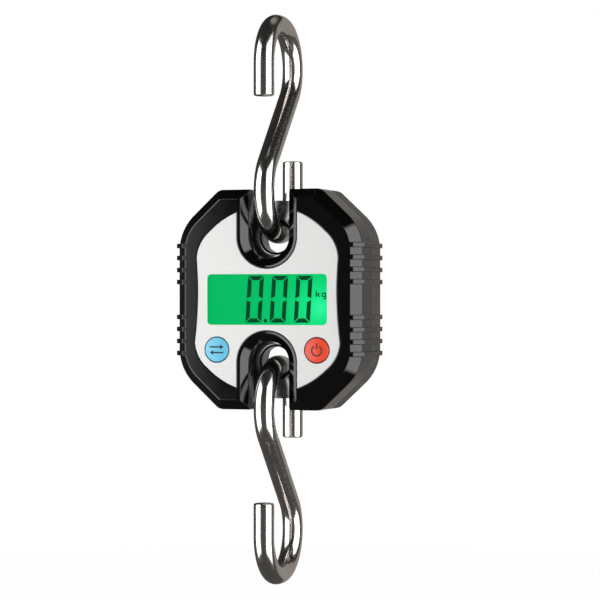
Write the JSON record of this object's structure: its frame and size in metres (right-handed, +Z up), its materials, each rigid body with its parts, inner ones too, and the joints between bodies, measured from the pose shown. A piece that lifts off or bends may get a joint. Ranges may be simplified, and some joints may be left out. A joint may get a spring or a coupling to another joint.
{
  "type": "crane scale",
  "caption": "Small hanging scale: two S-hooks through the eyes of a load cell in a black two-part housing with a backlit display and push buttons.",
  "frame": {"origin": "middle of the load cell, halfway between the two hooks and halfway through the housing", "axes": "+Z up along the line of pull, +X to the right of a person reading the display, +Y from the display to the back"},
  "size_m": [0.081, 0.0444, 0.2342],
  "materials": {
    "hook_chrome": "polished chrome plate on bent steel rod",
    "cell_steel": "ground and nickel-plated alloy steel",
    "cover_black": "polished black ABS",
    "panel_silver": "satin silver sheet",
    "window_clear": "clear polished pane",
    "display_green": "backlit green liquid crystal cell",
    "backlight_green": "edge-lit light guide",
    "lamp_green": "green lamp bodies",
    "frame_white": "moulded white frame",
    "strip_rubber": "layered contact rubber",
    "board_green": "solder-masked glass laminate",
    "part_black": "moulded epoxy",
    "screw_steel": "zinc-plated steel",
    "button_blue": "gloss blue",
    "button_red": "gloss orange-red",
    "switch_black": "moulded black",
    "plunger_white": "moulded ivory",
    "gauge_foil": "foil on amber film",
    "sealant_white": "soft white silicone",
    "lead_red": "red silicone sleeving",
    "battery_wrap": "printed sleeve over a steel can",
    "contact_nickel": "nickel-plated spring steel"
  },
  "bodies": {
    "upper_hook": {"upper_hook": "hook_chrome"},
    "housing": {"load_cell": "cell_steel", "strain_gauges": "gauge_foil", "gauge_sealant": "sealant_white", "gauge_leads": "lead_red", "load_cell_screws": "screw_steel", "front_cover": "cover_black", "rear_cover": "cover_black", "housing_screws": "screw_steel", "face_panel": "panel_silver", "display_window": "window_clear", "display_glass": "display_green", "backlight": "backlight_green", "backlight_lamps": "lamp_green", "display_frame": "frame_white", "contact_strips": "strip_rubber", "circuit_board": "board_green", "board_parts": "part_black", "board_screws": "screw_steel", "button_switches": "switch_black", "batteries": "battery_wrap", "battery_contacts": "contact_nickel", "battery_springs": "contact_nickel", "battery_leads": "lead_red"},
    "lower_hook": {"lower_hook": "hook_chrome"},
    "unit_button": {"unit_button": "button_blue", "unit_plunger": "plunger_white"},
    "power_button": {"power_button": "button_red", "power_plunger": "plunger_white"},
    "left_door": {"battery_door_left": "cover_black"},
    "right_door": {"battery_door_right": "cover_black"}
  },
  "joints": [
    {"name": "upper_link", "type": "hinge", "parent": "upper_hook", "child": "housing", "pos_m": [0, 0, 0.0272], "axis": [0, 1, 0], "range_deg": [-12, 12]},
    {"name": "lower_link", "type": "hinge", "parent": "housing", "child": "lower_hook", "pos_m": [0, 0, -0.0272], "axis": [0, 1, 0], "range_deg": [-12, 12]},
    {"name": "unit_press", "type": "slide", "parent": "housing", "child": "unit_button", "axis": [0, 1, 0], "range_m": [0, 0.0005], "stiffness_N_per_m": 1500},
    {"name": "power_press", "type": "slide", "parent": "housing", "child": "power_button", "axis": [0, 1, 0], "range_m": [0, 0.0005], "stiffness_N_per_m": 1500},
    {"name": "left_door_tilt", "type": "hinge", "parent": "housing", "child": "left_door", "pos_m": [-0.0256, 0.015, -0.0256], "axis": [-1, 0, 0], "range_deg": [0, 40]},
    {"name": "right_door_tilt", "type": "hinge", "parent": "housing", "child": "right_door", "pos_m": [0.0256, 0.015, -0.0256], "axis": [-1, 0, 0], "range_deg": [0, 40]}
  ]
}
